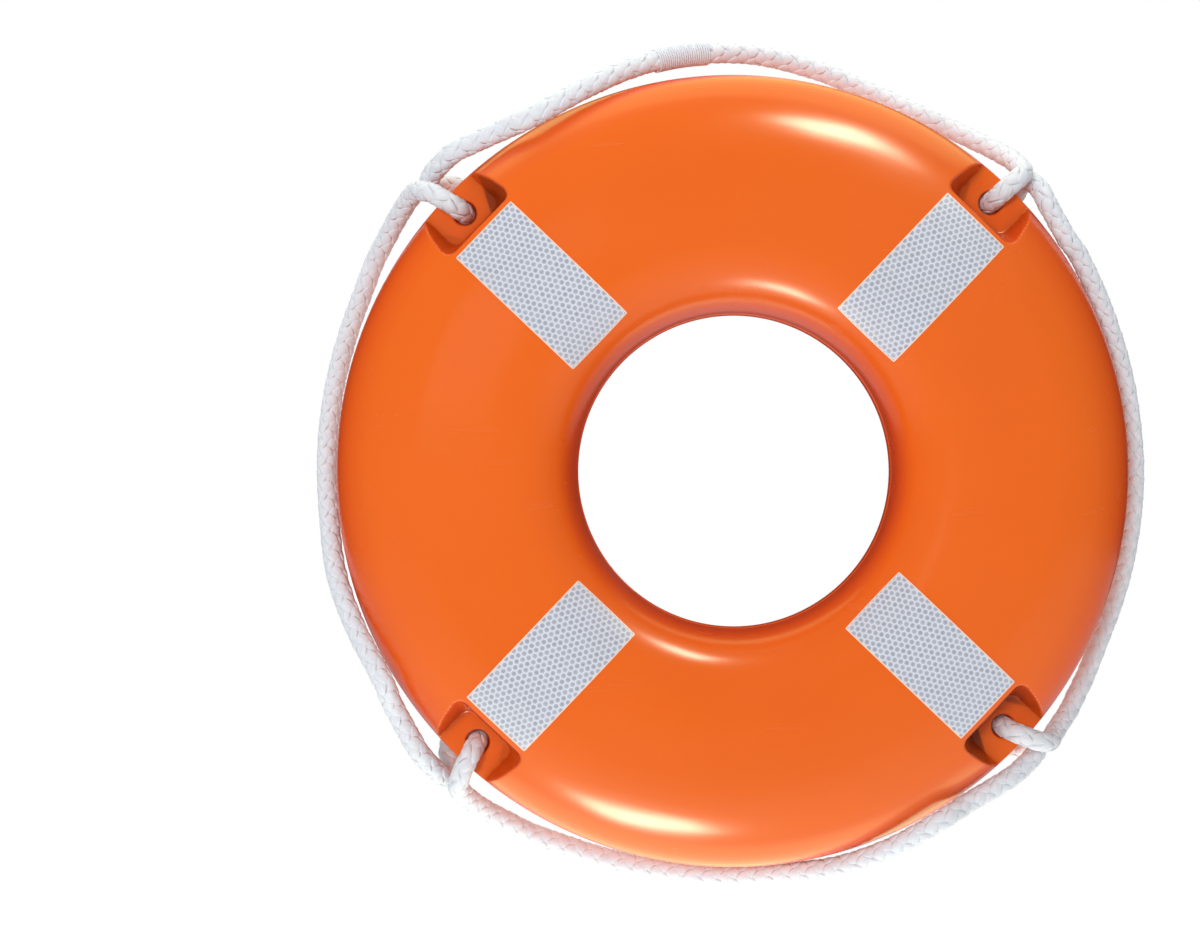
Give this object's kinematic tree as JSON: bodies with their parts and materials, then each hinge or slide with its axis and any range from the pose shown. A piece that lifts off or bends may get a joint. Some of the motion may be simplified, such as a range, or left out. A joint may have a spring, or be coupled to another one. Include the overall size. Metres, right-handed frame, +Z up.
{
  "type": "life ring",
  "caption": "Ring buoy with a foam-filled moulded shell, rope lugs set into pockets, retroreflective tapes and a braided grab line hitched round the lugs.",
  "frame": {"origin": "top of the central hole's inner wall at the parting plane, where the ring hangs on a peg", "axes": "+Z up as it hangs; the ring's axis lies along Y, with the front face towards -Y; +X to the right seen from the front"},
  "size_m": [0.5374, 0.1106, 0.5445],
  "materials": {
    "shell": "smooth moulded, glossy orange",
    "foam": "rigid closed-cell foam",
    "tape": "silver retroreflective sheet with a honeycomb seal pattern",
    "rope": "white braided cord",
    "twine": "white whipping twine"
  },
  "bodies": {
    "root": {"front_shell": "shell", "back_shell": "shell", "foam_core": "foam", "front_tape_upper_right": "tape", "front_tape_upper_left": "tape", "front_tape_lower_left": "tape", "front_tape_lower_right": "tape", "back_tape_upper_right": "tape", "back_tape_upper_left": "tape", "back_tape_lower_left": "tape", "back_tape_lower_right": "tape", "rope_hitch_upper_right": "rope", "rope_hitch_upper_left": "rope", "rope_hitch_lower_left": "rope", "rope_hitch_lower_right": "rope", "rope_bight_top": "rope", "rope_bight_left": "rope", "rope_bight_bottom": "rope", "rope_bight_right": "rope", "rope_whipping": "twine"}
  },
  "joints": []
}
